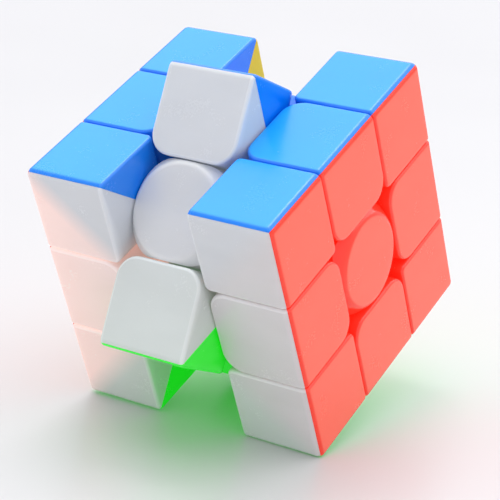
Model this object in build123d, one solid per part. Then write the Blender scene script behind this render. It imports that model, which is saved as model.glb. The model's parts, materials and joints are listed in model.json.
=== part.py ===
from build123d import *

import os
from math import sqrt

# A three-layer twisty puzzle cube, stickerless, with its middle layer turned so that it props the cube up.
# It is drawn solved about the origin, in millimetres, with +X right, -Y front and +Z up. Each layer is then
# turned about the X axis to the angle in LAYER_TURN, where the cube stands on its long edges.

# Overall sizes
CUBE_WIDTH = 56.0  # across two opposite faces
MIDDLE_WIDTH = 19.5  # pitch of the middle layer, a little wider than the two outer ones
WALL = 1.5  # moulded wall of the hollow shells
GAP = 0.24  # free space between two neighbouring pieces, over the whole travel

# Angle of each layer about +X, in degrees, as the cube stands
LAYER_TURN = {"right": 22.9, "left": 21.3, "middle": -22.9}

# The ball-shaped track that holds the pieces together
NECK_REACH = 2.9  # how far inside the track's sphere the neck of a corner starts
FOOT_THICKNESS = 5.5  # radial thickness of every foot
FOOT_UNDERCUT = 3.2  # how far a foot reaches under its neighbours
CORNER_NECK_LENGTH = 4.0  # from the track's sphere to where the coloured corner shells sit
CORNER_POST_RADIUS = 1.8  # post that the tips of the three coloured shells meet around

# Rounding
OUTER_EDGE_RADIUS = 1.5  # along the cube's long edges
RIM_RADIUS = 0.65  # around the outline of each outer face
CORNER_HEEL_RADIUS = 1.3  # corner piece, the outline corner next to the face centre
EDGE_HEEL_RADIUS = 4.3  # edge piece, the two outline corners next to the face centre
CENTRE_OUTLINE_RADIUS = 5.8  # centre piece, its four outline corners
CENTRE_DISC_RADIUS = 8.5  # flat disc on top of the centre piece
CENTRE_ROUND_RADIUS = 1.6  # roll-over at the disc's rim
CENTRE_BEVEL_ANGLE = 50.0  # slope of the bevel below the roll-over

# Centre piece
STEM_FLOOR = 2.0  # floor that the spring presses on
CAP_THICKNESS = 2.6
CAP_PLUG_DEPTH = 2.2
CAP_PLUG_WALL = 1.2
CAP_POCKET_RADIUS = 7.4
CAP_CLEARANCE = 0.1

# Screw, washer, spring and core
ARM_RADIUS = 3.7
ARM_CLEARANCE = 0.7  # between the end of an arm and the stem above it
HUB_RADIUS = 6.6
SHANK_RADIUS = 1.45
SHANK_CLEARANCE = 0.25  # in the stem's hole
THREAD_CLEARANCE = 0.05  # in the arm's hole
SHANK_END = 5.0  # distance of the screw's tip from the cube's centre
SHANK_CHAMFER = 0.5
HEAD_RADIUS = 2.7
HEAD_HEIGHT = 1.7
HEAD_ROUND_RADIUS = 0.55
RECESS_WIDTH = 0.8
RECESS_LENGTH = 3.2
RECESS_DEPTH = 1.1
HEAD_CLEARANCE = 1.0  # between the screw's head and the cap's plug
WASHER_RADIUS = 3.05
WASHER_THICKNESS = 0.4
SPRING_LENGTH = 5.0
SPRING_RADIUS = 2.55  # to the middle of the wire
SPRING_WIRE_RADIUS = 0.3
SPRING_TURNS = 5
SPRING_BORE_CLEARANCE = 0.4

# What follows from the sizes above
HALF = CUBE_WIDTH / 2
SET_BACK = GAP / 2
MIDDLE_HALF = MIDDLE_WIDTH / 2 - SET_BACK  # where a middle piece ends
OUTER_START = MIDDLE_WIDTH / 2 + SET_BACK  # where an outer piece starts
FOOT_LINE = MIDDLE_WIDTH / 2 - FOOT_UNDERCUT
NARROW_HALF = FOOT_LINE - SET_BACK  # half width of stems and edge feet
FOOT_START = FOOT_LINE + SET_BACK
TRACK_RADIUS = OUTER_START * sqrt(3) + NECK_REACH  # feet lie inside this sphere, caps outside it
CAP_INNER_RADIUS = TRACK_RADIUS + SET_BACK
FOOT_OUTER_RADIUS = TRACK_RADIUS - SET_BACK
FOOT_INNER_RADIUS = TRACK_RADIUS - FOOT_THICKNESS
SHELL_SEAT_RADIUS = TRACK_RADIUS + CORNER_NECK_LENGTH
CAP_SEAT = HALF - CAP_THICKNESS
CAP_PLUG_BOTTOM = CAP_SEAT - CAP_PLUG_DEPTH
HEAD_BOTTOM = CAP_PLUG_BOTTOM - HEAD_CLEARANCE - HEAD_HEIGHT
WASHER_BOTTOM = HEAD_BOTTOM - WASHER_THICKNESS
SPRING_SEAT = WASHER_BOTTOM - SPRING_LENGTH
STEM_BOTTOM = SPRING_SEAT - STEM_FLOOR
SPRING_BORE_RADIUS = SPRING_RADIUS + SPRING_WIRE_RADIUS + SPRING_BORE_CLEARANCE

AXES = {
    "right": (1, 0, 0),
    "left": (-1, 0, 0),
    "back": (0, 1, 0),
    "front": (0, -1, 0),
    "up": (0, 0, 1),
    "down": (0, 0, -1),
}
FACE_COLOUR = {
    "right": "red",
    "left": "orange",
    "back": "yellow",
    "front": "white",
    "up": "blue",
    "down": "green",
}
TOUCH = 1e-4  # two lengths closer than this are the same


def block(x_range, y_range, z_range):
    """A box between two values on each axis."""
    spans = [high - low for low, high in (x_range, y_range, z_range)]
    middle = [(low + high) / 2 for low, high in (x_range, y_range, z_range)]
    return Pos(*middle) * Box(*spans)


def round_post(radius, bottom, top):
    """A cylinder along +Z between two heights."""
    return Pos(0, 0, (bottom + top) / 2) * Cylinder(radius, top - bottom)


def rim_edges(solid):
    """The closed outline of the outer skin: edges that only one skin face has."""

    def is_skin(face):
        normal = face.normal_at(face.center())
        outward = max(normal.Y, normal.Z, normal.X if face.center().X > MIDDLE_HALF else 0)
        reach = max(tuple(face.center()))
        return outward > 0.5 and reach > HALF - OUTER_EDGE_RADIUS

    edges = [edge for face in solid.faces() if is_skin(face) for edge in face.edges()]
    return [edge for edge in edges if sum(edge.is_same(other) for other in edges) == 1]


def mitre(solid, *normals):
    """The part of a solid on the positive side of each plane through the origin."""
    for normal in normals:
        solid = split(solid, bisect_by=Plane((0, 0, 0), z_dir=normal), keep=Keep.TOP)
    return solid


def crossed_prisms(inset):
    """Two face prisms at +Y +Z with rounded heels, crossed, and set in from the piece's outer form."""
    start = OUTER_START + inset
    depth = HALF - inset - start
    outline = Pos(0, start + depth / 2) * Rectangle(2 * (MIDDLE_HALF - inset), depth)
    heels = outline.vertices().sort_by(Axis.Y)[:2]
    outline = fillet(heels, EDGE_HEEL_RADIUS - inset)
    up_prism = extrude(Pos(0, 0, start) * outline, depth)
    back_prism = up_prism.rotate(Axis((0, 0, 0), (0, 1, 1)), 180)
    return up_prism & back_prism


def edge_skin():
    """Outer form of an edge piece at +Y +Z."""
    skin = crossed_prisms(0)
    long_edge = skin.edges().filter_by(Axis.X).sort_by_distance((0, HALF, HALF))[0]
    skin = fillet(long_edge, OUTER_EDGE_RADIUS)
    return fillet(rim_edges(skin), RIM_RADIUS)


def edge_half():
    """Upper half of the edge piece at +Y +Z, with its half of the foot. The other half is the same."""
    cavity = crossed_prisms(WALL) - Sphere(CAP_INNER_RADIUS + WALL)
    shell = edge_skin() - Sphere(CAP_INNER_RADIUS) - cavity
    narrow = (-NARROW_HALF, NARROW_HALF)
    neck_range = (OUTER_START, TRACK_RADIUS)
    neck = block(narrow, neck_range, neck_range) & Sphere(CAP_INNER_RADIUS + WALL / 2)
    foot_range = (FOOT_START, TRACK_RADIUS)
    foot = block(narrow, foot_range, foot_range) & Sphere(FOOT_OUTER_RADIUS)
    held = (neck + foot) - Sphere(FOOT_INNER_RADIUS)
    return mitre(shell + held, (0, -1, 1))


def corner_skin():
    """Outer form of the corner piece at +X +Y +Z."""
    cube = block(*[(OUTER_START, HALF)] * 3)

    def shared_faces(edge, value):
        return sum(abs(c - value) < TOUCH for c in tuple(edge.center()))

    cube = fillet([e for e in cube.edges() if shared_faces(e, HALF) == 2], OUTER_EDGE_RADIUS)
    cube = fillet([e for e in cube.edges() if shared_faces(e, OUTER_START) == 2], CORNER_HEEL_RADIUS)
    return fillet(rim_edges(cube), RIM_RADIUS)


def corner_hollow():
    """The space within the walls of a corner."""
    return block(*[(OUTER_START + WALL, HALF - WALL)] * 3)


def corner_shell(skin):
    """The upward-facing third of the corner's hollow skin."""
    return mitre(skin - Sphere(SHELL_SEAT_RADIUS) - corner_hollow(), (-1, 0, 1), (0, -1, 1))


def corner_foot(skin):
    """Foot and neck of a corner, with the post that the three coloured shells meet around."""
    foot = block(*[(FOOT_START, TRACK_RADIUS)] * 3) & Sphere(FOOT_OUTER_RADIUS)
    foot -= Sphere(FOOT_INNER_RADIUS)
    neck = (skin & Sphere(SHELL_SEAT_RADIUS)) - Sphere(FOOT_OUTER_RADIUS - SET_BACK)
    diagonal = Plane((0, 0, 0), z_dir=(1, 1, 1)).location
    post = diagonal * round_post(CORNER_POST_RADIUS, SHELL_SEAT_RADIUS - WALL, HALF * sqrt(3))
    return foot + neck + (post & corner_hollow())


def centre_skin():
    """Outer form of the centre piece at +Z: a round disc that bevels down into a rounded square."""
    outline = RectangleRounded(2 * MIDDLE_HALF, 2 * MIDDLE_HALF, CENTRE_OUTLINE_RADIUS)
    prism = extrude(outline, HALF)
    reach = MIDDLE_HALF * sqrt(2)
    with BuildSketch(Plane.XZ) as profile:
        with BuildLine():
            flat = Line((0, HALF), (CENTRE_DISC_RADIUS, HALF))
            roll = JernArc(flat @ 1, (1, 0), CENTRE_ROUND_RADIUS, -CENTRE_BEVEL_ANGLE)
            width = reach - (roll @ 1).X
            bevel = PolarLine(roll @ 1, width, -CENTRE_BEVEL_ANGLE, length_mode=LengthMode.HORIZONTAL)
            Polyline(bevel @ 1, (reach, 0), (0, 0), (0, HALF))
        make_face()
    return prism & revolve(profile.sketch, Axis.Z)


def centre_cap(skin):
    """Snap-in lid of a centre piece: its visible top, with a plug ring below."""
    lid = skin & block(*[(-HALF, HALF)] * 2, (CAP_SEAT, HALF))
    plug_radius = CAP_POCKET_RADIUS - CAP_CLEARANCE
    plug = round_post(plug_radius, CAP_PLUG_BOTTOM, CAP_SEAT)
    plug -= round_post(plug_radius - CAP_PLUG_WALL, CAP_PLUG_BOTTOM, CAP_SEAT)
    return lid + plug


def centre_body(skin):
    """Body of a centre piece: skirt over the feet, and the stem that houses the spring."""
    skirt = (skin & block(*[(-HALF, HALF)] * 2, (0, CAP_SEAT))) - Sphere(CAP_INNER_RADIUS)
    narrow = (-NARROW_HALF, NARROW_HALF)
    stem = block(narrow, narrow, (STEM_BOTTOM, CAP_SEAT))
    bore = round_post(SPRING_BORE_RADIUS, SPRING_SEAT, HALF)
    shank_hole = round_post(SHANK_RADIUS + SHANK_CLEARANCE, 0, HALF)
    pocket = round_post(CAP_POCKET_RADIUS, WASHER_BOTTOM, HALF)
    return skirt + stem - bore - shank_hole - pocket


def screw():
    """Pan-head screw along +Z with a cross recess."""
    head = round_post(HEAD_RADIUS, HEAD_BOTTOM, HEAD_BOTTOM + HEAD_HEIGHT)
    top_rim = head.edges().filter_by(GeomType.CIRCLE).sort_by(Axis.Z)[-1]
    head = fillet(top_rim, HEAD_ROUND_RADIUS)
    shank = round_post(SHANK_RADIUS, SHANK_END, HEAD_BOTTOM)
    tip = shank.edges().filter_by(GeomType.CIRCLE).sort_by(Axis.Z)[0]
    shank = chamfer(tip, SHANK_CHAMFER)
    recess_bottom = HEAD_BOTTOM + HEAD_HEIGHT - RECESS_DEPTH
    slot = Box(RECESS_LENGTH, RECESS_WIDTH, RECESS_DEPTH)
    slot = Pos(0, 0, recess_bottom + RECESS_DEPTH / 2) * slot
    return head + shank - slot - slot.rotate(Axis.Z, 90)


def washer():
    """Flat washer under the screw's head."""
    ring = round_post(WASHER_RADIUS, WASHER_BOTTOM, HEAD_BOTTOM)
    return ring - round_post(SHANK_RADIUS + SHANK_CLEARANCE, WASHER_BOTTOM, HEAD_BOTTOM)


def spring():
    """Compression spring between the stem's floor and the washer."""
    rise = SPRING_LENGTH - 2 * SPRING_WIRE_RADIUS - 2 * SET_BACK
    bottom = SPRING_SEAT + SPRING_WIRE_RADIUS + SET_BACK
    path = Pos(0, 0, bottom) * Helix(rise / SPRING_TURNS, rise, SPRING_RADIUS)
    section = Plane(path @ 0, z_dir=path % 0) * Circle(SPRING_WIRE_RADIUS)
    return sweep(section, path, is_frenet=True)


def core():
    """Six-armed core with a tapped hole in the end of each arm."""
    body = Sphere(HUB_RADIUS)
    for axis in AXES.values():
        frame = Plane((0, 0, 0), z_dir=axis).location
        body += frame * round_post(ARM_RADIUS, 0, STEM_BOTTOM - ARM_CLEARANCE)
    for axis in AXES.values():
        frame = Plane((0, 0, 0), z_dir=axis).location
        body -= frame * round_post(SHANK_RADIUS + THREAD_CLEARANCE, SHANK_END - THREAD_CLEARANCE, HALF)
    return body


def layer_of(faces):
    """The layer, left, middle or right, that a piece showing these faces belongs to."""
    return next((name for name in ("left", "right") if name in faces), "middle")


def placed(solid, faces, facing):
    """A solid drawn at +Z, carried to the piece that shows these faces so that +Z points along facing."""
    up = Vector(AXES[facing])
    others = [Vector(AXES[name]) for name in faces if name != facing]
    if len(others) == 1:  # an edge: its other face comes from +Y
        x_dir = others[0].cross(up)
    elif len(others) == 2:  # a corner: its other faces come from +X and +Y
        first, second = others
        x_dir = first if (up.cross(first) - second).length < TOUCH else second
    else:
        x_dir = level_axis(up)
    seat = Plane((0, 0, 0), x_dir=x_dir, z_dir=up).location
    return Rot(X=LAYER_TURN[layer_of(faces)]) * seat * solid


def level_axis(up):
    """The X axis, or the Y axis where up itself lies along X."""
    return Vector(AXES["right"]) if abs(up.X) < TOUCH else Vector(AXES["back"])


def turned_middle(solid):
    """A part of the middle layer that is drawn about the cube's centre."""
    return Rot(X=LAYER_TURN["middle"]) * solid


def on_core(solid, facing):
    """A part drawn at +Z, carried to one arm of the core, which turns with the middle layer."""
    up = Vector(AXES[facing])
    return turned_middle(Plane((0, 0, 0), x_dir=level_axis(up), z_dir=up).location * solid)


def centre_nodes():
    """The core and the six centre pieces with their screws, washers, springs and caps."""
    nodes = {"core": [turned_middle(core())]}
    one_screw, one_washer, one_spring = screw(), washer(), spring()
    nodes["centre_screws"] = [on_core(one_screw, name) for name in AXES]
    nodes["screw_washers"] = [on_core(one_washer, name) for name in AXES]
    skin = centre_skin()
    body, cap = centre_body(skin), centre_cap(skin)
    for name in AXES:
        nodes[f"centre_spring_{name}"] = [on_core(one_spring, name)]
        nodes[f"centre_body_{name}"] = [placed(body, [name], name)]
        nodes[f"centre_cap_{name}"] = [placed(cap, [name], name)]
    return nodes


def edge_nodes():
    """Both halves of the twelve edge pieces."""
    sides = ("front", "back", "left", "right")
    pairs = [(first, second) for first in ("up", "down") for second in sides]
    pairs += [(first, second) for first in ("front", "back") for second in ("left", "right")]
    half = edge_half()
    return {
        f"edge_{first}_{second}_{FACE_COLOUR[facing]}_half": [placed(half, [first, second], facing)]
        for first, second in pairs
        for facing in (first, second)
    }


def corner_nodes():
    """The shells of the eight corner pieces by layer and colour, and their feet by layer."""
    nodes = {}
    skin = corner_skin()
    shell, foot = corner_shell(skin), corner_foot(skin)
    corners = [(a, b, side) for side in ("left", "right") for a in ("up", "down") for b in ("front", "back")]
    for faces in corners:
        side = layer_of(faces)
        for facing in faces:
            name = f"corner_shells_{side}_{FACE_COLOUR[facing]}"
            nodes.setdefault(name, []).append(placed(shell, faces, facing))
        nodes.setdefault(f"corner_feet_{side}", []).append(placed(foot, faces, faces[0]))
    return nodes


def main():
    os.makedirs("parts", exist_ok=True)
    for name, solids in (centre_nodes() | edge_nodes() | corner_nodes()).items():
        node = Compound(children=solids) if len(solids) > 1 else solids[0]
        export_step(node, f"parts/{name}.step")


if __name__ == "__main__":
    main()
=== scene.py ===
import json
from math import cos, pi, radians, sin, sqrt, tan

import bmesh
import bpy
from bpy.props import FloatProperty, FloatVectorProperty, PointerProperty
from mathutils import Matrix, Vector


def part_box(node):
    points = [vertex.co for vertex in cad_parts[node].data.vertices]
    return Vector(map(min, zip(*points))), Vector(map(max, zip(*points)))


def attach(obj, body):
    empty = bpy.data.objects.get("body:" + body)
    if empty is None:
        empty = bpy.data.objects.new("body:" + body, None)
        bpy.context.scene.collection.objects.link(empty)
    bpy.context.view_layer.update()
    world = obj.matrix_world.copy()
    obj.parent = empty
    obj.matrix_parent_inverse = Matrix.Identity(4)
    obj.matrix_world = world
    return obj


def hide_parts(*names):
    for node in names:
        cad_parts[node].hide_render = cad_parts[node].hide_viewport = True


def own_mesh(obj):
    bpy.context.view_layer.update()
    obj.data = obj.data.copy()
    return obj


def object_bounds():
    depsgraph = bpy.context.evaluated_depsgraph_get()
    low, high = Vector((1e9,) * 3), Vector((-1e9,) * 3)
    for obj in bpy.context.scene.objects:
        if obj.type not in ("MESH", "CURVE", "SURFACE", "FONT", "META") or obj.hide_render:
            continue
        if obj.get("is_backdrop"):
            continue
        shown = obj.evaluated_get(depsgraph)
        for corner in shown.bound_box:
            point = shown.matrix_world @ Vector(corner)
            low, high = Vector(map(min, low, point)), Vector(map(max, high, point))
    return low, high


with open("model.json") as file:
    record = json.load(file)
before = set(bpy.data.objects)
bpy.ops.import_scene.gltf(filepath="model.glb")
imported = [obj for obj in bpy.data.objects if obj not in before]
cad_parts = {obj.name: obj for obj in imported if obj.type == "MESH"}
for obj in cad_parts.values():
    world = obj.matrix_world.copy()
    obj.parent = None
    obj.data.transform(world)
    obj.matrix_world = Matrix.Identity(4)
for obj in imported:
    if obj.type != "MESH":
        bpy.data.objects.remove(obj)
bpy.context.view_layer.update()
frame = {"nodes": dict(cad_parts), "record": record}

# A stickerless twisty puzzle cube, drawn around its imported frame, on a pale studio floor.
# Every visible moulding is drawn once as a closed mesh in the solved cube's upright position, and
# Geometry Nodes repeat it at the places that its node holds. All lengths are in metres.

bl_info = {
    "name": "Twisty Puzzle Cube",
    "version": (1, 0, 0),
    "blender": (4, 5, 0),
    "location": "3D View > Sidebar > Twisty Cube",
    "description": "Draws the mouldings, springs and studio of a stickerless twisty puzzle cube",
    "category": "Mesh",
}

BEHAVIOUR = frame["record"]["behaviour"]
BODY_OF = {node: body for body, nodes in BEHAVIOUR["bodies"].items() for node in nodes}
JOINTS = {joint["name"]: joint for joint in BEHAVIOUR["joints"]}
MM = 0.001

AXES = {
    "right": Vector((1, 0, 0)),
    "left": Vector((-1, 0, 0)),
    "back": Vector((0, 1, 0)),
    "front": Vector((0, -1, 0)),
    "up": Vector((0, 0, 1)),
    "down": Vector((0, 0, -1)),
}
FACE_COLOUR = {
    "right": "red",
    "left": "orange",
    "back": "yellow",
    "front": "white",
    "up": "blue",
    "down": "green",
}
LAYER_TURN = {"right": radians(22.9), "left": radians(21.3), "middle": radians(-22.9)}


# ---------------------------------------------------------------- settings


def length(name, description, default):
    """A length setting."""
    return FloatProperty(
        name=name, description=description, default=default, min=0, unit="LENGTH", precision=5
    )


def proportion(name, description, default):
    """A setting between 0 and 1."""
    return FloatProperty(name=name, description=description, default=default, subtype="FACTOR")


def bearing(name, description, degrees):
    """An angle setting, with its default in degrees."""
    return FloatProperty(
        name=name, description=description, default=radians(degrees), subtype="ANGLE"
    )


def amount(name, description, default):
    """A strength setting, 0 or more."""
    return FloatProperty(name=name, description=description, default=default, min=0)


def colour(name, description, default):
    """A linear colour setting."""
    return FloatVectorProperty(
        name=name, description=description, default=default, size=3, min=0, max=1, subtype="COLOR"
    )


class MouldingSizes(bpy.types.PropertyGroup):
    """Roundings of the mouldings, and of what lies under them. Overall sizes come from the frame."""

    outer_edge_radius: length("Long edges", "Rounding along the cube's long edges", 1.5 * MM)
    rim_radius: length("Rims", "Rounding around each moulding's outline", 0.65 * MM)
    edge_heel_radius: length("Edge heels", "Edge pieces' corners next to a face centre", 4.3 * MM)
    corner_heel_radius: length(
        "Corner heels", "Corner pieces' corner next to a face centre", 1.3 * MM
    )
    seam_chamfer: length("Seams", "Chamfer where two colours meet", 0.06 * MM)
    cap_outline_radius: length("Cap outline", "Outline corners of a centre cap", 5.8 * MM)
    cap_disc_radius: length("Cap disc", "Flat disc on top of a centre cap", 8.5 * MM)
    cap_round_radius: length("Cap roll-over", "Rounding at the rim of the cap's disc", 1.6 * MM)
    cap_bevel_angle: bearing("Cap bevel", "Slope of a cap's bevel", 50)
    cap_plug_radius: length(
        "Cap plug", "Outer radius of the ring that snaps into the centre piece", 7.3 * MM
    )
    cap_plug_wall: length("Cap plug wall", "Wall of that ring", 1.2 * MM)
    cap_plug_depth: length("Cap plug depth", "Depth of that ring", 2.2 * MM)
    track_radius: length("Track", "Sphere that the caps of the pieces slide on", 20.115 * MM)
    shell_seat_radius: length("Shell seat", "Sphere where corner shells sit on their foot", 23.995 * MM)
    foot_outer_radius: length("Foot outside", "Outer sphere of the feet", 19.875 * MM)
    foot_inner_radius: length("Foot inside", "Inner sphere of the feet", 14.495 * MM)
    foot_start: length("Foot start", "Where a foot starts, from the cube's middle planes", 6.67 * MM)
    foot_half_width: length("Foot half width", "Half the width of an edge piece's foot", 6.43 * MM)


class SpringSizes(bpy.types.PropertyGroup):
    """Sizes of the compression springs under the screws' heads."""

    wire_radius: length("Wire", "Radius of the spring wire", 0.29 * MM)
    coil_radius: length("Coil", "Radius to the middle of the wire", 2.55 * MM)
    turns: FloatProperty(name="Turns", description="Turns, with the closed ones", default=6.5, min=2)
    closed_share: proportion("Closed share", "Share of the wire in each closed end", 0.15)


class PlasticColours(bpy.types.PropertyGroup):
    """Linear colours of the six mouldings and of the core."""

    blue: colour("Blue", "Plastic of the up face", (0.0005, 0.385, 0.97))
    white: colour("White", "Plastic of the front face", (0.71, 0.71, 0.715))
    red: colour("Red", "Plastic of the right face", (0.99, 0.125, 0.070))
    green: colour("Green", "Plastic of the down face", (0.060, 0.92, 0.075))
    yellow: colour("Yellow", "Plastic of the back face", (0.92, 0.68, 0.005))
    orange: colour("Orange", "Plastic of the left face", (0.95, 0.20, 0.03))
    core: colour("Core", "Plastic of the six-armed core", (0.035, 0.036, 0.040))


class PlasticFinish(bpy.types.PropertyGroup):
    """Gloss and surface detail of the moulded plastic, with its painted shade and painted light."""

    roughness: proportion("Roughness", "Mean roughness", 0.23)
    smudge: proportion("Smudges", "Roughness added by handling", 0.05)
    scratch: proportion("Scratches", "Depth of hairlines", 0.10)
    # depth paints shade: walls and roundings below the flat outer face of coloured plastic get a
    # darker, more saturated colour.
    depth: amount("Depth", "Power that makes polished walls deeper in colour than frost", 1.5)
    texture_size: length("Mould texture", "Size of the mould's fine texture", 0.35 * MM)
    # The next four settings paint the neighbouring mouldings' light into white plastic: a painted
    # colour cast and a painted light drawn as emission.
    painted_tint: proportion("Tint", "A neighbour's colour seen through white plastic", 0.04)
    glow: amount("Glow", "Light from a neighbour shining through white plastic", 0.12)
    glow_depth: length("Glow depth", "Depth at which tint and glow have faded to a third", 25 * MM)
    glow_blend: length(
        "Glow blend", "Width of the change from one neighbour's glow to the other's", 2.6 * MM
    )


class StudioSettings(bpy.types.PropertyGroup):
    """Camera, floor and lights."""

    azimuth: bearing("Azimuth", "Angle to the right of the front", 33.02)
    elevation: bearing("Elevation", "Angle above the floor", 18.39)
    roll: bearing("Roll", "Lean to the left", 1.79)
    distance: length("Distance", "Camera to aim point", 360.6 * MM)
    aim: FloatVectorProperty(
        name="Aim",
        description="Point in the middle of the picture",
        default=(0.76 * MM, -0.80 * MM, -3.26 * MM),
        subtype="TRANSLATION",
    )
    lens: FloatProperty(
        name="Lens", description="Focal length in mm on a 36 mm sensor", default=129.66, min=1
    )
    floor_colour: colour("Floor", "Pale floor", (0.685, 0.668, 0.670))
    floor_size: length("Floor size", "Side of the square floor", 12.0)
    sky: amount("Sky", "Strength of the even studio light", 0.71)
    key: amount("Key", "Strength of the soft light from above and behind", 1.9)
    key_spread: bearing("Key spread", "How wide that light is", 100)
    key_towards: FloatVectorProperty(
        name="Key place",
        description="Direction to that light",
        default=(0.02, 0.38, 0.92),
        subtype="DIRECTION",
    )
    spark: amount("Spark", "Strength of the small light that draws the highlights", 0.45)
    low_fill: amount("Low fill", "Strength of the weak light from the front left", 0.24)


# ---------------------------------------------------------------- the cube's plan


def layer_of(faces):
    """The layer, left, middle or right, that a piece showing these faces belongs to."""
    return next((name for name in ("left", "right") if name in faces), "middle")


def neighbours(faces, facing):
    """The piece's other faces, in the order in which a moulding drawn at +Z has them at +X and +Y."""
    others = [name for name in faces if name != facing]
    if len(others) == 2 and AXES[facing].cross(AXES[others[0]]) != AXES[others[1]]:
        others.reverse()
    return others


def place_of(faces, facing, layer):
    """The turn that carries a moulding drawn facing +Z to its place in the cube as it stands."""
    up = AXES[facing]
    others = neighbours(faces, facing)
    if len(others) == 1:
        across = AXES[others[0]].cross(up)
    elif others:
        across = AXES[others[0]]
    else:
        across = AXES["back"] if facing in ("left", "right") else AXES["right"]
    seat = Matrix((across, up.cross(across), up)).transposed()
    return Matrix.Rotation(LAYER_TURN[layer], 3, "X") @ seat


def edges_of_cube():
    """The two faces of each of the twelve edge pieces."""
    sides = ("front", "back", "left", "right")
    pairs = [(first, second) for first in ("up", "down") for second in sides]
    return pairs + [(first, second) for first in sides[:2] for second in sides[2:]]


def corners_of_cube():
    """The three faces of each of the eight corner pieces."""
    return [(a, b, c) for c in ("left", "right") for a in ("up", "down") for b in ("front", "back")]


# ---------------------------------------------------------------- mesh drafts


WELD = 0.0002 * MM  # points closer than this become one
PAINTED_SHADE_DEPTH = 0.08 * MM  # below a flat face, where the painted shade of walls and roundings is full
SHARP_ANGLE = radians(35)


class Draft:
    """A closed mesh while it is drawn, as rows of points. rim is 1 on rounded edges, 0 on flats."""

    def __init__(self):
        self.points, self.rims, self.faces = [], [], []

    def row(self, points, rim=0.0):
        """Adds a row of points and returns their indices."""
        first = len(self.points)
        self.points.extend(Vector(p) for p in points)
        self.rims.extend([rim] * (len(self.points) - first))
        return list(range(first, len(self.points)))

    def strip(self, low, high):
        """Quads between two rows of equal length."""
        for i in range(len(low) - 1):
            self.faces.append((low[i], low[i + 1], high[i + 1], high[i]))

    def slab(self, rows_top, rows_bottom):
        """A closed block between two grids of points, one over the other."""
        top = [self.row(row) for row in rows_top]
        bottom = [self.row(row) for row in rows_bottom]
        for grid in (top, bottom):
            for low, high in zip(grid, grid[1:]):
                self.strip(low, high)
        for a, b in ((top[0], bottom[0]), (top[-1], bottom[-1])):
            self.strip(a, b)
        for end in (0, -1):
            self.strip([row[end] for row in top], [row[end] for row in bottom])

    def mesh(self, name, covers, face_height):
        """The finished mesh. covers holds, for each neighbour, a function giving a point's distance to
        it, for the painted light of neighbours. An attribute marks the flat outer face at face_height,
        so the material can paint shade on roundings and walls below it."""
        mesh = bpy.data.meshes.new(name)
        mesh.from_pydata(self.points, [], self.faces)
        values = {
            "rim": self.rims,
            # 1 on the flat outer face, fading to 0 below it, where the material paints shade
            "frost": [max(1 - (face_height - p.z) / PAINTED_SHADE_DEPTH, 0.0) for p in self.points],
        }
        for label, distance in covers.items():
            values[f"cover_{label}"] = [max(distance(p), 0.0) for p in self.points]
        for label, numbers in values.items():
            mesh.attributes.new(label, "FLOAT", "POINT").data.foreach_set("value", numbers)
        draft = bmesh.new()
        draft.from_mesh(mesh)
        bmesh.ops.remove_doubles(draft, verts=draft.verts, dist=WELD)
        bmesh.ops.dissolve_degenerate(draft, edges=draft.edges, dist=WELD)
        open_edges = [edge for edge in draft.edges if edge.is_boundary]
        if open_edges:
            bmesh.ops.holes_fill(draft, edges=open_edges, sides=0)
        bmesh.ops.recalc_face_normals(draft, faces=draft.faces)
        if any(not edge.is_manifold for edge in draft.edges):
            raise RuntimeError(f"{name} isn't closed")
        for face in draft.faces:
            face.smooth = True
        for edge in draft.edges:
            edge.smooth = edge.calc_face_angle(0) < SHARP_ANGLE
        draft.to_mesh(mesh)
        draft.free()
        return mesh


# ---------------------------------------------------------------- mouldings


PAINTED_GLOW_LABELS = ("a", "b")  # a moulding's first and second neighbour in the same piece
CAP_THICKNESS = 2.6 * MM
NECK_INSET = 0.1 * MM  # how far a neck stands back from the foot and the walls around it
LEAST_ARC = 0.05 * MM
NO_NEIGHBOUR = 1.0  # a distance too far for any painted light from a neighbour
SEAM_TOLERANCE = 1e-6
FILLET_STEPS = 6
RIM_STEPS = 6
HEEL_STEPS = 9
FLAT_STEPS = 12
WALL_STEPS = 7
CAP_SEGMENTS = 128
CAP_RINGS = 8


class Plan:
    """Overall sizes of the mouldings, from the frame, and their roundings, from the settings."""

    def __init__(self, sizes):
        self.sizes = sizes
        self.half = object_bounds()[1].x
        self.middle_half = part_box("edge_up_front_blue_half")[1].x
        self.outer_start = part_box("corner_shells_right_blue")[0].x
        self.core = self.half - sizes.outer_edge_radius
        self.cap_seat = self.half - CAP_THICKNESS

    def skin(self, u, v, sink=0.0):
        """A point of the upward third of the cube's rounded skin. u and v run along X and Y, and
        reach the seams at the cube's half width."""
        radius = self.sizes.outer_edge_radius
        slope_u = max(u - self.core, 0.0) / radius
        slope_v = max(v - self.core, 0.0) / radius
        normal = Vector((slope_u, slope_v, 1.0)).normalized()
        if max(slope_u, slope_v) > 1 - SEAM_TOLERANCE:
            sink += self.sizes.seam_chamfer
        middle = Vector((min(u, self.core), min(v, self.core), self.core))
        return middle + (radius - sink) * normal

    def fillet_lines(self):
        """Stations of u or v over the long edge's fillet, from its start to the seam."""
        radius = self.sizes.outer_edge_radius
        last = pi / 4 - self.sizes.seam_chamfer / radius
        angles = [last * i / FILLET_STEPS for i in range(1, FILLET_STEPS + 1)] + [pi / 4]
        return [self.core + radius * tan(angle) for angle in angles]


def evenly(start, end, steps):
    """Stations from start to end, both included."""
    return [start + (end - start) * i / steps for i in range(steps + 1)]


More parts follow.
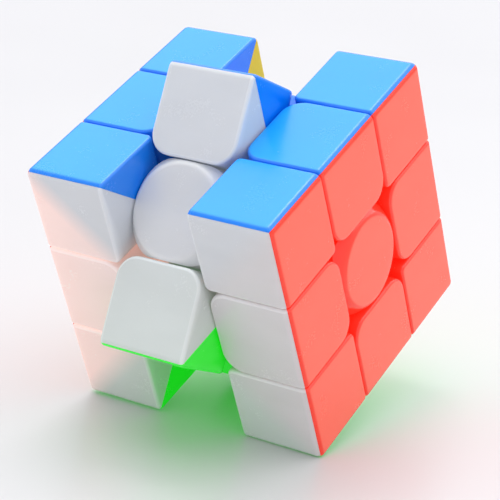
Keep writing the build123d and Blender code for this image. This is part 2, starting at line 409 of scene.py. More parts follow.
def heel_rows(plan, heel_radius, side):
    """Rows of a moulding's top from its inner end to the seam: v, the row's end u towards side, and
    the direction of the rim there. Inner rows follow the heel's arc."""
    rim = plan.sizes.rim_radius
    arc = max(heel_radius - rim, LEAST_ARC)
    centre_u, centre_v = side - heel_radius, plan.outer_start + heel_radius
    rows = []
    for angle in evenly(pi / 2, 0, HEEL_STEPS):
        outward = (cos(angle), -sin(angle))
        rows.append((centre_v + arc * outward[1], centre_u + arc * outward[0], outward))
    stations = evenly(centre_v, plan.core, FLAT_STEPS)[1:] + plan.fillet_lines()
    return rows + [(v, side - rim, (1, 0)) for v in stations]


def rounded_prism(draft, plan, grid, path, bottom):
    """Closes a moulding: grid is its flat top as rows of (u, v), path the open run along its rim as
    (u, v, outward), and bottom gives the point of its underside below another."""
    sizes = plan.sizes
    top = [draft.row([plan.skin(u, v) for u, v in row]) for row in grid]
    under = [draft.row([bottom(plan.skin(u, v)) for u, v in row]) for row in grid]
    for rows in (top, under):
        for low, high in zip(rows, rows[1:]):
            draft.strip(low, high)

    last = draft.row([plan.skin(u, v) for u, v, _ in path])
    for angle in evenly(0, pi / 2, RIM_STEPS)[1:]:
        reach, drop = sizes.rim_radius * sin(angle), sizes.rim_radius * (1 - cos(angle))
        ring = [plan.skin(u + reach * out[0], v + reach * out[1], drop) for u, v, out in path]
        new = draft.row(ring, rim=1.0)
        draft.strip(last, new)
        last = new

    heights = [point.z - bottom(point).z for point in ring]
    chamfers = [min(sizes.seam_chamfer, height / 2) for height in heights]
    for share in evenly(0, 1, WALL_STEPS)[1:]:
        drops = [share * (height - chamfer) for height, chamfer in zip(heights, chamfers)]
        new = draft.row([point - Vector((0, 0, drop)) for point, drop in zip(ring, drops)])
        draft.strip(last, new)
        last = new
    steps = [chamfer * Vector((*out, 0)) for chamfer, (_, _, out) in zip(chamfers, path)]
    new = draft.row([bottom(point - step) for point, step in zip(ring, steps)])
    draft.strip(last, new)
    draft.strip(new, draft.row([bottom(plan.skin(u, v)) for u, v, _ in path]))


def over(point, *heights):
    """A point moved along Z to the highest of some heights."""
    return Vector((point.x, point.y, max(heights)))


def on_sphere(radius, x, y):
    """Height of a sphere about the cube's centre over a point, or 0 beyond it."""
    return sqrt(max(radius**2 - x**2 - y**2, 0.0))


def edge_half(plan):
    """Upper half of the edge piece at +Y +Z with its half of the foot."""
    sizes = plan.sizes
    draft = Draft()
    rows = heel_rows(plan, sizes.edge_heel_radius, plan.middle_half)
    grid = [[(u, v) for u in evenly(-end, end, FLAT_STEPS)] for v, end, _ in rows]
    left = [(-end, v, (-out[0], out[1])) for v, end, out in reversed(rows)]
    right = [(end, v, out) for v, end, out in rows]
    inner_v = rows[0][0]
    path = left + [(u, inner_v, (0, -1)) for u, _ in grid[0][1:-1]] + right

    def bottom(point):
        return over(point, point.y, on_sphere(sizes.track_radius, point.x, point.y))

    rounded_prism(draft, plan, grid, path, bottom)
    half_width, outer = sizes.foot_half_width, sizes.foot_outer_radius
    edge_foot(draft, sizes.foot_start, half_width, (sizes.foot_inner_radius, outer))
    neck = (outer - NECK_INSET, sizes.track_radius + NECK_INSET)
    edge_foot(draft, plan.outer_start + NECK_INSET, half_width - NECK_INSET, neck)
    covers = {"a": lambda p: (p.z - p.y) / sqrt(2), "b": lambda p: NO_NEIGHBOUR}
    return draft.mesh("edge_half", covers, plan.half)


def edge_foot(draft, start, half_width, spheres):
    """A slab between two spheres, over |x| < half_width, from y = start to the mitre plane."""
    inner, outer = spheres
    columns = evenly(-half_width, half_width, FLAT_STEPS)
    tops, bottoms = [], []
    for share in evenly(0, 1, FLAT_STEPS):
        top, bottom = [], []
        for x in columns:
            y = start + share * (sqrt((outer**2 - x**2) / 2) - start)
            top.append((x, y, max(on_sphere(outer, x, y), y)))
            bottom.append((x, y, max(on_sphere(inner, x, y), y)))
        tops.append(top)
        bottoms.append(bottom)
    draft.slab(tops, bottoms)


def corner_shell(plan):
    """The upward-facing third of the corner piece at +X +Y +Z."""
    sizes = plan.sizes
    draft = Draft()
    heel = heel_rows(plan, sizes.corner_heel_radius, plan.outer_start)
    rows = [(v, 2 * plan.outer_start - end, (-out[0], out[1])) for v, end, out in heel]
    fillet = plan.fillet_lines()
    grid = [[(u, v) for u in evenly(start, plan.core, FLAT_STEPS) + fillet] for v, start, _ in rows]
    path = [(start, v, out) for v, start, out in reversed(rows)]
    path += [(u, rows[0][0], (0, -1)) for u, _ in grid[0][1:]]

    def bottom(point):
        return over(point, point.x, point.y, on_sphere(sizes.shell_seat_radius, point.x, point.y))

    rounded_prism(draft, plan, grid, path, bottom)
    covers = {"a": lambda p: (p.z - p.x) / sqrt(2), "b": lambda p: (p.z - p.y) / sqrt(2)}
    return draft.mesh("corner_shell", covers, plan.half)


def cap_profile(plan, radius):
    """Height of a centre cap's top at a distance from its axis."""
    sizes = plan.sizes
    across = radius - sizes.cap_disc_radius
    angle, rounding = sizes.cap_bevel_angle, sizes.cap_round_radius
    roll = rounding * sin(angle)
    if across <= 0:
        return plan.half
    if across <= roll:
        return plan.half - rounding + sqrt(rounding**2 - across**2)
    return plan.half - rounding * (1 - cos(angle)) - (across - roll) * tan(angle)


def cap_outline(plan, angle):
    """Distance from the axis to the cap's rounded-square outline in one direction."""
    flat = plan.middle_half - plan.sizes.cap_outline_radius
    radius = plan.sizes.cap_outline_radius
    turn = (angle + pi / 4) % (pi / 2) - pi / 4
    side = plan.middle_half / cos(turn)
    if abs(side * sin(turn)) <= flat:
        return side
    middle = flat * sqrt(2)
    off = pi / 4 - abs(turn)
    return middle * cos(off) + sqrt(radius**2 - (middle * sin(off)) ** 2)


def centre_cap(plan):
    """Snap-in lid of the centre piece at +Z, as rings from its top's middle to the middle below."""
    sizes = plan.sizes
    draft = Draft()
    angles = evenly(0, 2 * pi, CAP_SEGMENTS)
    outline = [cap_outline(plan, angle) for angle in angles]

    def ring(radii, heights, rim=0.0):
        return draft.row([(r * cos(a), r * sin(a), z) for r, z, a in zip(radii, heights, angles)], rim)

    def circle(radius, height):
        return ring([radius] * len(angles), [height] * len(angles))

    rings = [circle(sizes.cap_disc_radius * share, plan.half) for share in evenly(0, 1, CAP_RINGS)]
    chamfer = sizes.seam_chamfer
    for share in evenly(0, 1, 2 * CAP_RINGS)[1:]:
        disc = sizes.cap_disc_radius
        radii = [disc + share * (reach - chamfer - disc) for reach in outline]
        rings.append(ring(radii, [cap_profile(plan, r) for r in radii], rim=min(1.0, 2 * share)))
    edge = [cap_profile(plan, reach - chamfer) - chamfer for reach in outline]
    for share in evenly(0, 1, CAP_RINGS // 2):
        heights = [top + share * (plan.cap_seat + chamfer - top) for top in edge]
        rings.append(ring(outline, heights))
    rings.append(ring([reach - chamfer for reach in outline], [plan.cap_seat] * len(angles)))
    inside = sizes.cap_plug_radius - sizes.cap_plug_wall
    plug_end = plan.cap_seat - sizes.cap_plug_depth
    for radius, height in (
        (sizes.cap_plug_radius, plan.cap_seat),
        (sizes.cap_plug_radius, plug_end),
        (inside, plug_end),
        (inside, plan.cap_seat),
        (0, plan.cap_seat),
    ):
        rings.append(circle(radius, height))
    for low, high in zip(rings, rings[1:]):
        draft.strip(low, high)
    covers = {label: lambda p: NO_NEIGHBOUR for label in PAINTED_GLOW_LABELS}
    return draft.mesh("centre_cap", covers, plan.half)


# ---------------------------------------------------------------- geometry nodes


SPRING_RESOLUTION = 40
WIRE_SEGMENTS = 12
NORMAL_WEIGHT = 60


def new_tree(name, inputs):
    """An empty geometry tree with geometry in and out and further named inputs, and its two ends."""
    tree = bpy.data.node_groups.new(name, "GeometryNodeTree")
    face = tree.interface
    face.new_socket("Geometry", in_out="INPUT", socket_type="NodeSocketGeometry")
    for label, kind in inputs:
        face.new_socket(label, in_out="INPUT", socket_type=kind)
    face.new_socket("Geometry", in_out="OUTPUT", socket_type="NodeSocketGeometry")
    return tree, tree.nodes.new("NodeGroupInput"), tree.nodes.new("NodeGroupOutput")


def finish_tree(tree, last, start, end):
    """Realizes the instances, sets the material and connects the output."""
    add, link = tree.nodes.new, tree.links.new
    realize = add("GeometryNodeRealizeInstances")
    coat = add("GeometryNodeSetMaterial")
    link(last, realize.inputs["Geometry"])
    link(realize.outputs["Geometry"], coat.inputs["Geometry"])
    link(start.outputs["Material"], coat.inputs["Material"])
    link(coat.outputs["Geometry"], end.inputs["Geometry"])


def repeat_tree():
    """Repeats a moulding at every point, turned by the point's own rotation."""
    inputs = [("Moulding", "NodeSocketObject"), ("Material", "NodeSocketMaterial")]
    tree, start, end = new_tree("repeat moulding", inputs)
    add, link = tree.nodes.new, tree.links.new
    info = add("GeometryNodeObjectInfo")
    points = add("GeometryNodeMeshToPoints")
    turn = add("GeometryNodeInputNamedAttribute")
    turn.data_type = "QUATERNION"
    turn.inputs["Name"].default_value = "turn"
    place = add("GeometryNodeInstanceOnPoints")
    link(start.outputs["Moulding"], info.inputs["Object"])
    link(start.outputs["Geometry"], points.inputs["Mesh"])
    link(points.outputs["Points"], place.inputs["Points"])
    link(info.outputs["Geometry"], place.inputs["Instance"])
    link(turn.outputs["Attribute"], place.inputs["Rotation"])
    finish_tree(tree, place.outputs["Instances"], start, end)
    return tree


def spring_tree():
    """A compression spring along +Z with closed ends, from its wire, coil, turns and two heights."""
    measures = ("Wire Radius", "Coil Radius", "Turns", "Closed Share", "Bottom", "Top")
    inputs = [(label, "NodeSocketFloat") for label in measures] + [("Material", "NodeSocketMaterial")]
    tree, start, end = new_tree("closed spring", inputs)
    add, link = tree.nodes.new, tree.links.new
    spiral = add("GeometryNodeCurveSpiral")
    spiral.inputs["Resolution"].default_value = SPRING_RESOLUTION
    spiral.inputs["Height"].default_value = 0.0
    link(start.outputs["Turns"], spiral.inputs["Rotations"])
    for end_name in ("Start Radius", "End Radius"):
        link(start.outputs["Coil Radius"], spiral.inputs[end_name])
    along = add("GeometryNodeSplineParameter")
    last_share = add("ShaderNodeMath")
    last_share.operation = "SUBTRACT"
    last_share.inputs[0].default_value = 1.0
    link(start.outputs["Closed Share"], last_share.inputs[1])
    height = add("ShaderNodeMapRange")
    height.interpolation_type = "SMOOTHSTEP"
    link(along.outputs["Factor"], height.inputs["Value"])
    link(start.outputs["Closed Share"], height.inputs["From Min"])
    link(last_share.outputs[0], height.inputs["From Max"])
    link(start.outputs["Bottom"], height.inputs["To Min"])
    link(start.outputs["Top"], height.inputs["To Max"])
    offset = add("ShaderNodeCombineXYZ")
    link(height.outputs["Result"], offset.inputs["Z"])
    lift = add("GeometryNodeSetPosition")
    link(spiral.outputs["Curve"], lift.inputs["Geometry"])
    link(offset.outputs["Vector"], lift.inputs["Offset"])
    section = add("GeometryNodeCurvePrimitiveCircle")
    section.inputs["Resolution"].default_value = WIRE_SEGMENTS
    link(start.outputs["Wire Radius"], section.inputs["Radius"])
    wire = add("GeometryNodeCurveToMesh")
    wire.inputs["Fill Caps"].default_value = True
    link(lift.outputs["Geometry"], wire.inputs["Curve"])
    link(section.outputs["Curve"], wire.inputs["Profile Curve"])
    finish_tree(tree, wire.outputs["Mesh"], start, end)
    return tree


def run_tree(name, points, tree, values):
    """Runs a geometry tree on some points, and gives the result as a plain mesh object."""
    source = bpy.data.objects.new(name, points)
    bpy.context.scene.collection.objects.link(source)
    modifier = source.modifiers.new("nodes", "NODES")
    modifier.node_group = tree
    for item in tree.interface.items_tree:
        if item.name in values:
            modifier[item.identifier] = values[item.name]
    normals = source.modifiers.new("weighted normals", "WEIGHTED_NORMAL")
    normals.keep_sharp = True
    normals.weight = NORMAL_WEIGHT
    depsgraph = bpy.context.evaluated_depsgraph_get()
    mesh = bpy.data.meshes.new_from_object(source.evaluated_get(depsgraph), depsgraph=depsgraph)
    mesh.name = name
    source.modifiers.clear()
    source.data = mesh
    bpy.data.meshes.remove(points)
    return source


def turn_points(name, turns, glows=()):
    """Points at the origin, each with a turn and, per neighbour, the colour of its painted light."""
    points = bpy.data.meshes.new(name)
    points.from_pydata([(0, 0, 0)] * len(turns), [], [])
    attribute = points.attributes.new("turn", "QUATERNION", "POINT")
    for item, turn in zip(attribute.data, turns):
        item.value = turn.to_quaternion()
    for label, colours in glows:
        attribute = points.attributes.new(f"glow_{label}", "FLOAT_COLOR", "POINT")
        for item, value in zip(attribute.data, colours):
            item.color = value
    return points


# ---------------------------------------------------------------- materials


WHITE_TRANSLUCENCY = 0.30
TRANSLUCENCY = 0.05
PLASTIC_IOR = 1.56
SCATTER_DEPTH = 1.2 * MM
SCATTER_REACH = (1.0, 0.9, 0.8)  # of red, green and blue light, as shares of that depth
MOST_NOISE = (0.3, 0.7)  # the range that most of a noise's values lie in
MIDDLE_NOISE = (0.35, 0.65)
FLOW_SIZE = 14 * MM
FLOW_TONES = (0.975, 1.01)
SMUDGE_SIZE = 7 * MM
SMUDGE_NOISE = (0.42, 0.72)
HAIRLINE_SIZE = 9 * MM
HAIRLINE_NOISE = (0.78, 0.84)  # the noise values where a hairline starts and is full
HAIRLINE_DEPTH = 0.0008 * MM
HAIRLINE_ROUGHNESS = 0.03
TEXTURE_DEPTH = 0.0004 * MM
TEXTURE_ROUGHNESS = 0.02
TEXTURE_TONE = 0.88
TEXTURE_SHARE = 0.05
SINK_MARK_SIZE = 11 * MM
SINK_MARK_DEPTH = 0.012 * MM
# The next three constants paint a highlight along the rims: a paler colour on rounded edges, strong in
# white plastic, faint in coloured plastic, where it also stands for edge wear.
RIM_HIGHLIGHT_PALENESS = 0.8
WHITE_RIM_HIGHLIGHT_SHARE = 0.4
RIM_HIGHLIGHT_SHARE = 0.02
RIM_GLOSS = 0.07
# The next four constants set the painted light in white plastic: emission for the neighbours' light
# shining through.
PAINTED_GLOW_PALENESS = 0.4
PAINTED_GLOW_LIGHT = 2.0
PAINTED_GLOW_STRENGTH = {"orange": 3.2, "green": 0.45}  # of white's neighbours; others have USUAL_PAINTED_GLOW
USUAL_PAINTED_GLOW = 0.35
# Painted light: emission in a plastic's own colour, brightening it beyond what its lighting gives.
OWN_COLOUR_PAINTED_GLOW = {"red": 0.16, "green": 0.22, "orange": 0.06, "yellow": 0.12}
METAL_ROUGHNESS = (-0.08, 0.12)
PLATING_SIZE = 1.2 * MM
PLATING_TONE = 0.8
TURNING_SIZE = 0.25 * MM
TURNING_DEPTH = 0.004 * MM
ZINC_COLOUR = (0.62, 0.62, 0.60)
WIRE_COLOUR = (0.48, 0.49, 0.51)
MOTTLE_SIZE = 60 * MM
MOTTLE_TONES = (0.985, 1.005)
FLOOR_ROUGHNESS = (0.30, 0.34)


class Nodes:
    """Short ways to add nodes to one material."""

    def __init__(self, material):
        material.use_nodes = True
        self.tree = material.node_tree
        self.shader = self.tree.nodes["Principled BSDF"]
        self.place = self.add("ShaderNodeTexCoord").outputs["Object"]

    def add(self, kind, **inputs):
        """A new node with some inputs set, to values or to other nodes' outputs."""
        return self.fill(self.tree.nodes.new(kind), **inputs)

    def fill(self, node, **inputs):
        """Sets some of a node's inputs, each named with _ for every space."""
        for label, value in inputs.items():
            self.set(node.inputs[label.replace("_", " ")], value)
        return node

    def shade(self, **inputs):
        """Sets some of the material's own inputs."""
        self.fill(self.shader, **inputs)

    def set(self, socket, value):
        """Sets a socket to a value, or links it to another node's output."""
        if isinstance(value, bpy.types.NodeSocket):
            self.tree.links.new(value, socket)
        else:
            socket.default_value = value

    def noise(self, size, detail=2.0, stretch=(1, 1, 1), turn=(0, 0, 0)):
        """Noise with features of about one size, stretched along the object's axes."""
        mapping = self.add("ShaderNodeMapping", Vector=self.place, Rotation=turn, Scale=stretch)
        place = mapping.outputs["Vector"]
        node = self.add("ShaderNodeTexNoise", Vector=place, Scale=1 / size, Detail=detail)
        return node.outputs["Fac"]

    def span(self, value, low, high, to_low=0.0, to_high=1.0):
        """A value mapped from one range to another, and kept within it."""
        ends = {"From_Min": low, "From_Max": high, "To_Min": to_low, "To_Max": to_high}
        return self.add("ShaderNodeMapRange", Value=value, **ends).outputs["Result"]

    def math(self, operation, first, second=0.0):
        """The result of one operation on two values."""
        node = self.tree.nodes.new("ShaderNodeMath")
        node.operation = operation
        self.set(node.inputs[0], first)
        self.set(node.inputs[1], second)
        return node.outputs[0]

    def mix(self, share, first, second):
        """A colour between two colours."""
        node = self.tree.nodes.new("ShaderNodeMix")
        node.data_type = "RGBA"
        return self.fill(node, Factor=share, A=first, B=second).outputs["Result"]

    def attribute(self, name, output):
        """A value or colour stored on the mesh."""
        node = self.tree.nodes.new("ShaderNodeAttribute")
        node.attribute_name = name
        return node.outputs[output]

    def bump(self, height, depth, normal=None):
        """Relief of a depth in metres."""
        node = self.add("ShaderNodeBump", Height=height, Distance=depth)
        if normal is not None:
            self.set(node.inputs["Normal"], normal)
        return node.outputs["Normal"]


def rgba(colour_value, factor=1.0):
    """A linear colour with alpha, made lighter or darker by a factor."""
    return (*[min(channel * factor, 1.0) for channel in colour_value], 1.0)


def hairlines(nodes, size):
    """Faint scratches in two directions, 1 in a scratch and 0 elsewhere."""
    first = nodes.noise(size, detail=1.0, stretch=(60, 1, 1.5), turn=(0.3, 0.5, 0.2))
    second = nodes.noise(size, detail=1.0, stretch=(1.2, 1, 55), turn=(0.8, -0.4, 0.6))
    lines = nodes.math("MAXIMUM", first, second)
    return nodes.span(lines, *HAIRLINE_NOISE)


def plastic(name, base, finish, translucency, glowing=False, own_painted_glow=0.0):
    """Glossy moulded plastic with flow marks, fine mould texture, smudges, hairlines and polished rims
    that carry a painted highlight. Coloured plastic gets painted shade on walls and roundings below
    the flat outer face, and some of it gets painted light in its own colour. Where asked, the colours
    of the piece's other mouldings are painted in as a colour cast and as painted light from emission."""
    material = bpy.data.materials.new(name)
    nodes = Nodes(material)
    flow = nodes.noise(FLOW_SIZE, detail=3.0, stretch=(1, 1, 2.5))
    frost = nodes.attribute("frost", "Fac")
    # Below the flat outer face, walls and roundings of coloured plastic get a darker, more saturated
    # colour: painted shade.
    painted_shade_colour = base if glowing else [channel**finish.depth for channel in base]
    low, high = [nodes.mix(frost, rgba(painted_shade_colour, tone), rgba(base, tone)) for tone in FLOW_TONES]
    tone = nodes.mix(nodes.span(flow, *MIDDLE_NOISE), low, high)
    fine = nodes.noise(finish.texture_size, detail=3.0)
    darkening = nodes.span(fine, *MOST_NOISE, to_high=TEXTURE_SHARE)
    tone = nodes.mix(darkening, tone, rgba(painted_shade_colour, TEXTURE_TONE))
    if glowing:
        tone = add_painted_glow(nodes, finish, tone)
    # Painted light in the plastic's own colour, drawn as emission.
    elif own_painted_glow:
        nodes.shade(Emission_Color=tone, Emission_Strength=own_painted_glow)
    # Rims mix towards a pale colour: a painted highlight, which in coloured plastic also stands for
    # edge wear.
    rim = nodes.attribute("rim", "Fac")
    pale = [channel + (1 - channel) * RIM_HIGHLIGHT_PALENESS for channel in base]
    rim_highlight_share = nodes.math("MULTIPLY", rim, WHITE_RIM_HIGHLIGHT_SHARE if glowing else RIM_HIGHLIGHT_SHARE)
    nodes.shade(Base_Color=nodes.mix(rim_highlight_share, tone, rgba(pale)))

    handling = nodes.noise(SMUDGE_SIZE, detail=4.0)
    smudge = nodes.span(handling, *SMUDGE_NOISE, to_high=finish.smudge)
    scratch = hairlines(nodes, HAIRLINE_SIZE)
    roughness = nodes.math("ADD", smudge, nodes.math("MULTIPLY", scratch, HAIRLINE_ROUGHNESS))
    uneven = nodes.span(fine, *MOST_NOISE, -TEXTURE_ROUGHNESS, TEXTURE_ROUGHNESS)
    roughness = nodes.math("ADD", roughness, uneven)
    roughness = nodes.math("SUBTRACT", roughness, nodes.math("MULTIPLY", rim, RIM_GLOSS))
    nodes.shade(Roughness=nodes.math("ADD", roughness, finish.roughness))

    sink_marks = nodes.bump(nodes.noise(SINK_MARK_SIZE, detail=1.0), SINK_MARK_DEPTH)
    texture = nodes.bump(fine, TEXTURE_DEPTH, sink_marks)
    grooves = nodes.math("MULTIPLY", scratch, -finish.scratch)
    nodes.shade(Normal=nodes.bump(grooves, HAIRLINE_DEPTH, texture), IOR=PLASTIC_IOR)
    nodes.shade(Subsurface_Weight=translucency, Subsurface_Radius=SCATTER_REACH)
    nodes.shade(Subsurface_Scale=SCATTER_DEPTH)
    return material


def add_painted_glow(nodes, finish, tone):
    """Paints the nearest other moulding's colour into a tone as a colour cast, and adds its light as
    painted light drawn as emission.
    """
    covers = [nodes.attribute(f"cover_{label}", "Fac") for label in PAINTED_GLOW_LABELS]
    for label, cover, other in zip(PAINTED_GLOW_LABELS, covers, reversed(covers)):
        gap = nodes.math("SUBTRACT", other, cover)
        nearer = nodes.span(gap, -finish.glow_blend, finish.glow_blend)
        fade = nodes.math("EXPONENT", nodes.math("DIVIDE", cover, -finish.glow_depth))
        share = nodes.math("MULTIPLY", nearer, fade)
        hue = nodes.attribute(f"glow_{label}", "Color")
        strength = nodes.math("MULTIPLY", share, nodes.attribute(f"glow_{label}", "Alpha"))
        # Painted colour cast and painted light of the nearer neighbour, fading with distance from it.
        tone = nodes.mix(nodes.math("MULTIPLY", strength, finish.painted_tint), tone, hue)
        pale = nodes.mix(PAINTED_GLOW_PALENESS, hue, (1, 1, 1, 1))
        light = nodes.mix(nodes.math("MULTIPLY", strength, finish.glow), (0, 0, 0, 1), pale)
        total = light if label == PAINTED_GLOW_LABELS[0] else nodes.mix(0.5, total, light)
    nodes.shade(Emission_Color=total, Emission_Strength=PAINTED_GLOW_LIGHT)
    return tone


def metal(name, base, roughness, turned):
    """Plated or drawn steel with blotchy plating and marks stretched along the axes by turned."""
    material = bpy.data.materials.new(name)
    nodes = Nodes(material)
    plating = nodes.span(nodes.noise(PLATING_SIZE, detail=4.0), *MIDDLE_NOISE)
    tone = nodes.mix(plating, rgba(base, PLATING_TONE), rgba(base))
    nodes.shade(Base_Color=tone, Metallic=1.0)
    marks = nodes.noise(TURNING_SIZE, stretch=turned)
    smooth, rough = [roughness + change for change in METAL_ROUGHNESS]
    uneven = nodes.span(marks, *MOST_NOISE, smooth, rough)
    nodes.shade(Roughness=uneven, Normal=nodes.bump(marks, TURNING_DEPTH))
    return material


def floor_material(base):
    """Smooth pale board with a faint mottle and a soft gloss."""
    material = bpy.data.materials.new("floor_board")
    nodes = Nodes(material)
    mottle = nodes.noise(MOTTLE_SIZE, detail=0.0)
    tone = nodes.mix(mottle, *[rgba(base, factor) for factor in MOTTLE_TONES])
    roughness = nodes.span(mottle, 0.0, 1.0, *FLOOR_ROUGHNESS)
    nodes.shade(Base_Color=tone, Roughness=roughness)
    return material


def plastics():
    """The coloured plastics by name, made once."""
    scene = bpy.context.scene
    colours, finish = scene.twisty_colours, scene.twisty_finish
    for name in FACE_COLOUR.values():
        label, white = f"moulded_{name}", name == "white"
        if label not in bpy.data.materials:
            translucency = WHITE_TRANSLUCENCY if white else TRANSLUCENCY
            # Painted light in the plastic's own colour, as emission strength.
            own_painted_glow_strength = OWN_COLOUR_PAINTED_GLOW.get(name, 0.0)
            plastic(label, getattr(colours, name), finish, translucency, white, own_painted_glow_strength)
    return {name: bpy.data.materials[f"moulded_{name}"] for name in FACE_COLOUR.values()}


def paint(node, material):
    """Gives a CAD node its finish."""
    target = frame["nodes"][node].data
    target.materials.clear()
    target.materials.append(material)


# ---------------------------------------------------------------- pieces


BOX_TOLERANCE = 0.6 * MM
NO_PAINTED_GLOW = (0, 0, 0, 0)


def finish_piece(piece, node):
    """Lets a piece stand for its CAD node, after a test that it fills the same box."""
    for mine, theirs in zip(box_of(piece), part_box(node)):
        if (mine - theirs).length > BOX_TOLERANCE:
            raise RuntimeError(f"{piece.name} doesn't match {node}: {mine} against {theirs}")
    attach(piece, BODY_OF[node])
    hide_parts(node)


def box_of(piece):
    """Lowest and highest corners of a piece's mesh."""
    columns = list(zip(*[vertex.co for vertex in piece.data.vertices]))
    return Vector([min(values) for values in columns]), Vector([max(values) for values in columns])


def repeat_moulding(name, node, moulding, tree, places, colour_name):
    """A moulding at some places, each given as its cubie's faces and the face it points to."""
    turns = [place_of(faces, facing, layer_of(faces)) for faces, facing in places]
    # Per neighbour, the colour and strength of the painted light in white plastic.
    glows = []
    for index, label in enumerate(PAINTED_GLOW_LABELS):
        others = [neighbours(faces, facing)[index:index + 1] for faces, facing in places]
        shades = [FACE_COLOUR[names[0]] if names else None for names in others]
        glows.append((label, [painted_glow_of(shade) if shade else NO_PAINTED_GLOW for shade in shades]))
    points = turn_points(name, turns, glows)
    values = {"Moulding": moulding, "Material": plastics()[colour_name]}
    piece = run_tree(name, points, tree, values)
    finish_piece(piece, node)
    return piece


def painted_glow_of(shade):
    """A neighbour's colour, with the strength of its painted light as alpha."""
    colours = bpy.context.scene.twisty_colours
    return (*getattr(colours, shade), PAINTED_GLOW_STRENGTH.get(shade, USUAL_PAINTED_GLOW))


def pattern_object(mesh):
    """A mesh as an object that geometry trees can repeat, to be removed afterwards."""
    pattern = bpy.data.objects.new(f"{mesh.name}_pattern", mesh)
    bpy.context.scene.collection.objects.link(pattern)
    return pattern


def remove_pattern(pattern):
    """Deletes a pattern object and its mesh."""
    mesh = pattern.data
    bpy.data.objects.remove(pattern)
    bpy.data.meshes.remove(mesh)


class TWISTYCUBE_OT_edge_pieces(bpy.types.Operator):
    """Draw the two coloured mouldings of each of the twelve edge pieces"""

    bl_idname = "twisty_cube.edge_pieces"
    bl_label = "Edge pieces"

    def execute(self, context):
        pattern = pattern_object(edge_half(Plan(context.scene.twisty_sizes)))
        tree = repeat_tree()
        for faces in edges_of_cube():
            for facing in faces:
                shade = FACE_COLOUR[facing]
                name, places = f"edge_{faces[0]}_{faces[1]}_{shade}", [(faces, facing)]
                repeat_moulding(f"{name}_moulding", f"{name}_half", pattern, tree, places, shade)
        remove_pattern(pattern)
        return {"FINISHED"}


class TWISTYCUBE_OT_corner_pieces(bpy.types.Operator):
    """Draw the coloured shells of the eight corner pieces, and finish their feet"""

    bl_idname = "twisty_cube.corner_pieces"
    bl_label = "Corner pieces"

    def execute(self, context):
        pattern = pattern_object(corner_shell(Plan(context.scene.twisty_sizes)))
        tree = repeat_tree()
        groups = {}
        for faces in corners_of_cube():
            for facing in faces:
                group = (layer_of(faces), FACE_COLOUR[facing])
                groups.setdefault(group, []).append((faces, facing))
        for (side, shade), places in groups.items():
            name = f"corner_shells_{side}_{shade}"
            repeat_moulding(f"{name}_mouldings", name, pattern, tree, places, shade)
        for side in ("left", "right"):
            paint(f"corner_feet_{side}", plastics()[FACE_COLOUR[side]])
        remove_pattern(pattern)
        return {"FINISHED"}


class TWISTYCUBE_OT_centre_pieces(bpy.types.Operator):
    """Draw the round-topped caps of the six centre pieces, and finish their bodies"""

    bl_idname = "twisty_cube.centre_pieces"
    bl_label = "Centre pieces"

    def execute(self, context):
        pattern = pattern_object(centre_cap(Plan(context.scene.twisty_sizes)))
        tree = repeat_tree()
        for facing, shade in FACE_COLOUR.items():
            name = f"centre_cap_{facing}"
            places = [([facing], facing)]
            repeat_moulding(f"{name}_moulding", name, pattern, tree, places, shade)
            paint(f"centre_body_{facing}", plastics()[shade])
        remove_pattern(pattern)
        return {"FINISHED"}


class TWISTYCUBE_OT_core_and_screws(bpy.types.Operator):
    """Finish the core, its screws and washers, and wind the six springs"""

    bl_idname = "twisty_cube.core_and_screws"
    bl_label = "Core, screws and springs"

    def execute(self, context):
        colours, sizes = context.scene.twisty_colours, context.scene.twisty_springs
        finish = context.scene.twisty_finish
        paint("core", plastic("core_plastic", colours.core, finish, translucency=0.0))
        zinc = metal("zinc_steel", ZINC_COLOUR, roughness=0.32, turned=(1, 1, 1))
        for node in ("centre_screws", "screw_washers"):
            paint(node, zinc)
        wire = metal("spring_steel", WIRE_COLOUR, roughness=0.26, turned=(1, 1, 4))
        tree = spring_tree()
        for facing in AXES:
            node = f"centre_spring_{facing}"
            turn = place_of([facing], facing, "middle")
            along = turn @ Vector((0, 0, 1))
            low, high = extent_along(frame["nodes"][node], along)
            values = {
                "Wire Radius": sizes.wire_radius,
                "Coil Radius": sizes.coil_radius,
                "Turns": sizes.turns,
                "Closed Share": sizes.closed_share,
                "Bottom": low + sizes.wire_radius,
                "Top": high - sizes.wire_radius,
                "Material": wire,
            }
            piece = run_tree(f"{node}_coil", turn_points(node, [turn]), tree, values)
            piece.data.transform(turn.to_4x4())
            finish_piece(piece, node)
            lift = JOINTS[f"centre_{facing}_lift"]
            keep = 1 - max(lift["range_m"]) / (high - low)
            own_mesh(piece)
        return {"FINISHED"}


def extent_along(piece, direction):
    """Lowest and highest reach of a mesh along a direction."""
    reaches = [vertex.co.dot(direction) for vertex in piece.data.vertices]
    return min(reaches), max(reaches)


# ---------------------------------------------------------------- studio


SENSOR_WIDTH = 36  # in mm
SIGHT = (0.01, 50)  # nearest and farthest that the camera sees
SKY_COLOUR = (0.97, 1.0, 1.06, 1.0)
SPARK_SPREAD = radians(20)
SPARK_TOWARDS = (-0.20, 0.27, 0.93)
LOW_FILL_SPREAD = radians(70)
LOW_FILL_TOWARDS = (-0.70, -0.70, 0.08)


def add_sun(name, strength, spread, towards):
    """One even light from a direction, soft when its spread is wide."""
    light = bpy.data.lights.new(name, "SUN")
    light.energy = strength
    light.angle = spread
    lamp = bpy.data.objects.new(name, light)
    lamp.rotation_euler = Vector(towards).to_track_quat("Z", "Y").to_euler()
    bpy.context.scene.collection.objects.link(lamp)


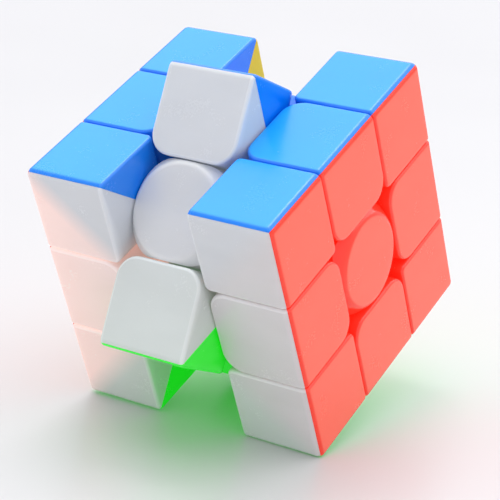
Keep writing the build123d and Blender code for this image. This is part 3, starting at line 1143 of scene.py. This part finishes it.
def add_camera(studio):
    """The camera, placed by azimuth, elevation and distance from its aim."""
    data = bpy.data.cameras.new("camera")
    data.lens = studio.lens
    data.sensor_width = SENSOR_WIDTH
    data.clip_start, data.clip_end = SIGHT
    camera = bpy.data.objects.new("camera", data)
    aim = Vector(studio.aim)
    azimuth, flat = studio.azimuth, cos(studio.elevation)
    outward = Vector((flat * sin(azimuth), -flat * cos(azimuth), sin(studio.elevation)))
    turn = (-outward).to_track_quat("-Z", "Y").to_matrix() @ Matrix.Rotation(studio.roll, 3, "Z")
    camera.matrix_world = Matrix.Translation(aim + studio.distance * outward) @ turn.to_4x4()
    bpy.context.scene.collection.objects.link(camera)
    bpy.context.scene.camera = camera


class TWISTYCUBE_OT_studio(bpy.types.Operator):
    """Set the pale floor, the soft lights and the camera"""

    bl_idname = "twisty_cube.studio"
    bl_label = "Studio"

    def execute(self, context):
        studio = context.scene.twisty_studio
        half = studio.floor_size / 2
        corners = ((-half, -half), (half, -half), (half, half), (-half, half))
        floor_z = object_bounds()[0].z
        mesh = bpy.data.meshes.new("floor")
        mesh.from_pydata([(*corner, floor_z) for corner in corners], [], [(0, 1, 2, 3)])
        mesh.materials.append(floor_material(studio.floor_colour))
        floor = bpy.data.objects.new("floor", mesh)
        context.scene.collection.objects.link(floor)
        floor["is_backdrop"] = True
        world = bpy.data.worlds.new("studio_light")
        world.use_nodes = True
        background = world.node_tree.nodes["Background"]
        background.inputs["Color"].default_value = SKY_COLOUR
        background.inputs["Strength"].default_value = studio.sky
        context.scene.world = world
        add_sun("key", studio.key, studio.key_spread, studio.key_towards)
        add_sun("spark", studio.spark, SPARK_SPREAD, SPARK_TOWARDS)
        add_sun("low_fill", studio.low_fill, LOW_FILL_SPREAD, LOW_FILL_TOWARDS)
        add_camera(studio)
        context.scene.view_settings.view_transform = "Standard"
        return {"FINISHED"}


class TWISTYCUBE_PT_sidebar(bpy.types.Panel):
    """Lists the steps that draw the cube, and their settings"""

    bl_label = "Twisty Cube"
    bl_idname = "TWISTYCUBE_PT_sidebar"
    bl_space_type = "VIEW_3D"
    bl_region_type = "UI"
    bl_category = "Twisty Cube"

    def draw(self, context):
        for step in STEPS:
            self.layout.operator(step.bl_idname)
        for group in SETTINGS:
            holder = getattr(context.scene, group)
            box = self.layout.box()
            for name in holder.bl_rna.properties.keys():
                if name not in ("rna_type", "name"):
                    box.prop(holder, name)


SETTINGS = {
    "twisty_sizes": MouldingSizes,
    "twisty_springs": SpringSizes,
    "twisty_colours": PlasticColours,
    "twisty_finish": PlasticFinish,
    "twisty_studio": StudioSettings,
}
STEPS = (
    TWISTYCUBE_OT_edge_pieces,
    TWISTYCUBE_OT_corner_pieces,
    TWISTYCUBE_OT_centre_pieces,
    TWISTYCUBE_OT_core_and_screws,
    TWISTYCUBE_OT_studio,
)
CLASSES = (*SETTINGS.values(), *STEPS, TWISTYCUBE_PT_sidebar)


def register():
    """Registers the classes and hangs the settings on the scene."""
    for cls in CLASSES:
        bpy.utils.register_class(cls)
    for name, cls in SETTINGS.items():
        setattr(bpy.types.Scene, name, PointerProperty(type=cls))


def unregister():
    """Takes the settings and the classes away again."""
    for name in SETTINGS:
        delattr(bpy.types.Scene, name)
    for cls in reversed(CLASSES):
        bpy.utils.unregister_class(cls)


def main():
    """Draws the whole cube and its studio."""
    register()
    bpy.ops.twisty_cube.edge_pieces()
    bpy.ops.twisty_cube.corner_pieces()
    bpy.ops.twisty_cube.centre_pieces()
    bpy.ops.twisty_cube.core_and_screws()
    bpy.ops.twisty_cube.studio()


if __name__ == "__main__":
    main()
